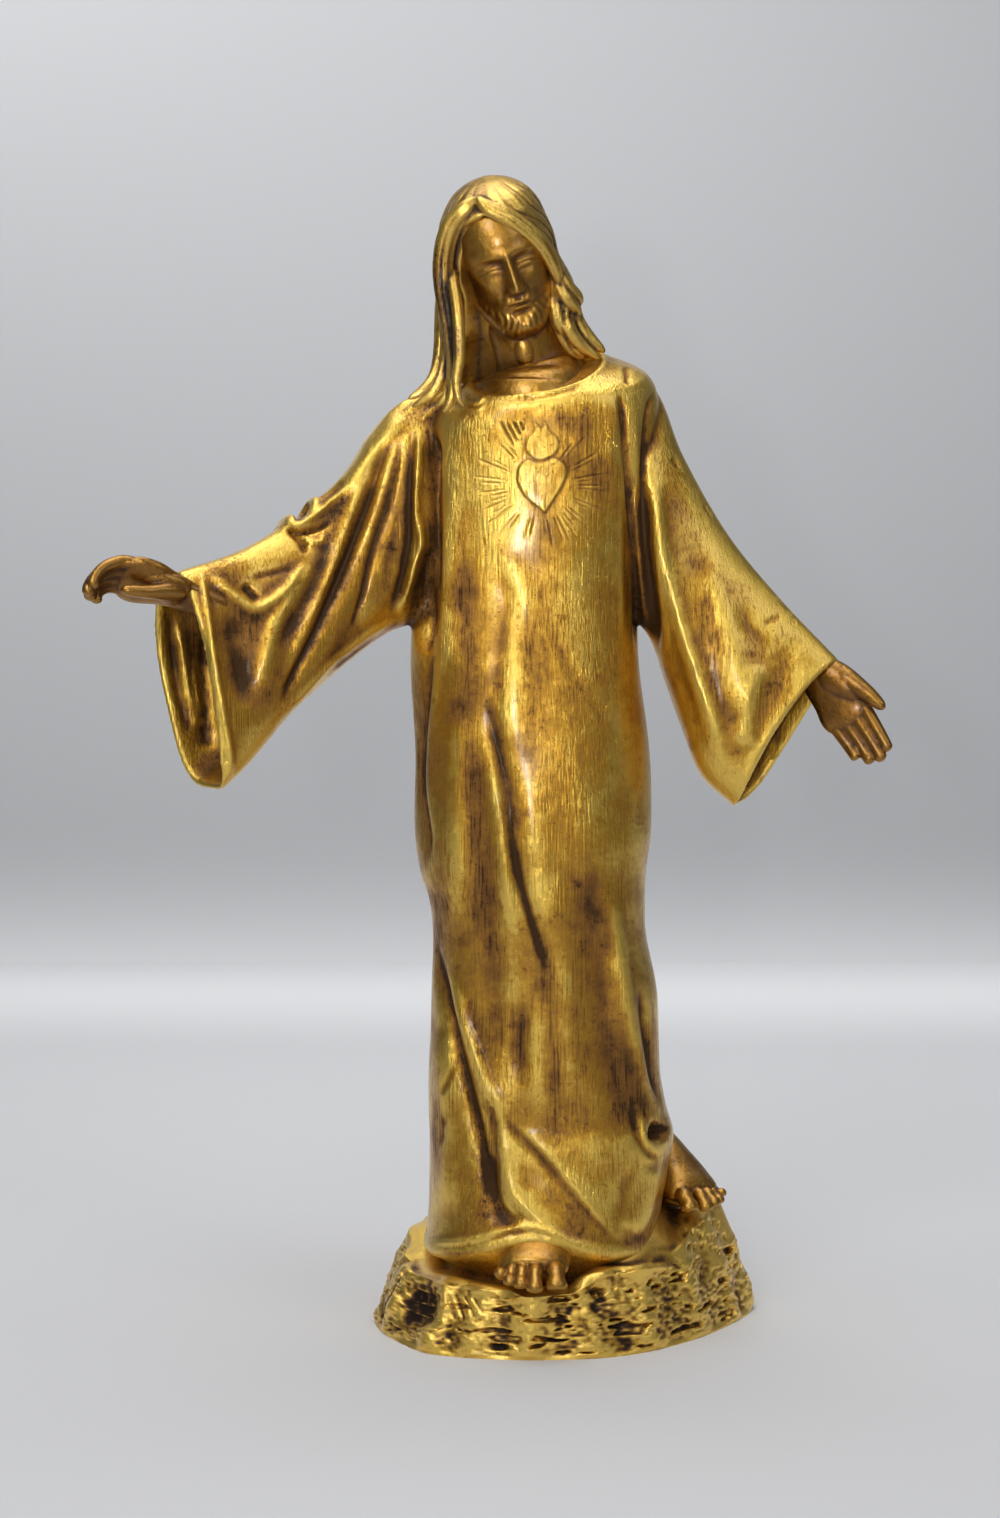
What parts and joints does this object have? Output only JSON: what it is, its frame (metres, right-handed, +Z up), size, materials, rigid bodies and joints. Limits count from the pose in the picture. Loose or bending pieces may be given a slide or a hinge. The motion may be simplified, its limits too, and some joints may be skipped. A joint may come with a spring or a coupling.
{
  "type": "sacred heart statue",
  "caption": "Robed figure with open arms and wide sleeves, a heart in relief on the chest, standing barefoot on a rough rock base.",
  "frame": {"origin": "on the flat underside of the rock base, at the middle of its width and depth", "axes": "+Z up, -Y is the way that the figure faces, +X towards the figure's left hand"},
  "size_m": [0.3719, 0.1805, 0.5608],
  "materials": {
    "gilt_bronze": "worn gilding over brown bronze, satin with rubbed ridges"
  },
  "bodies": {
    "root": {"statue": "gilt_bronze"}
  },
  "joints": []
}
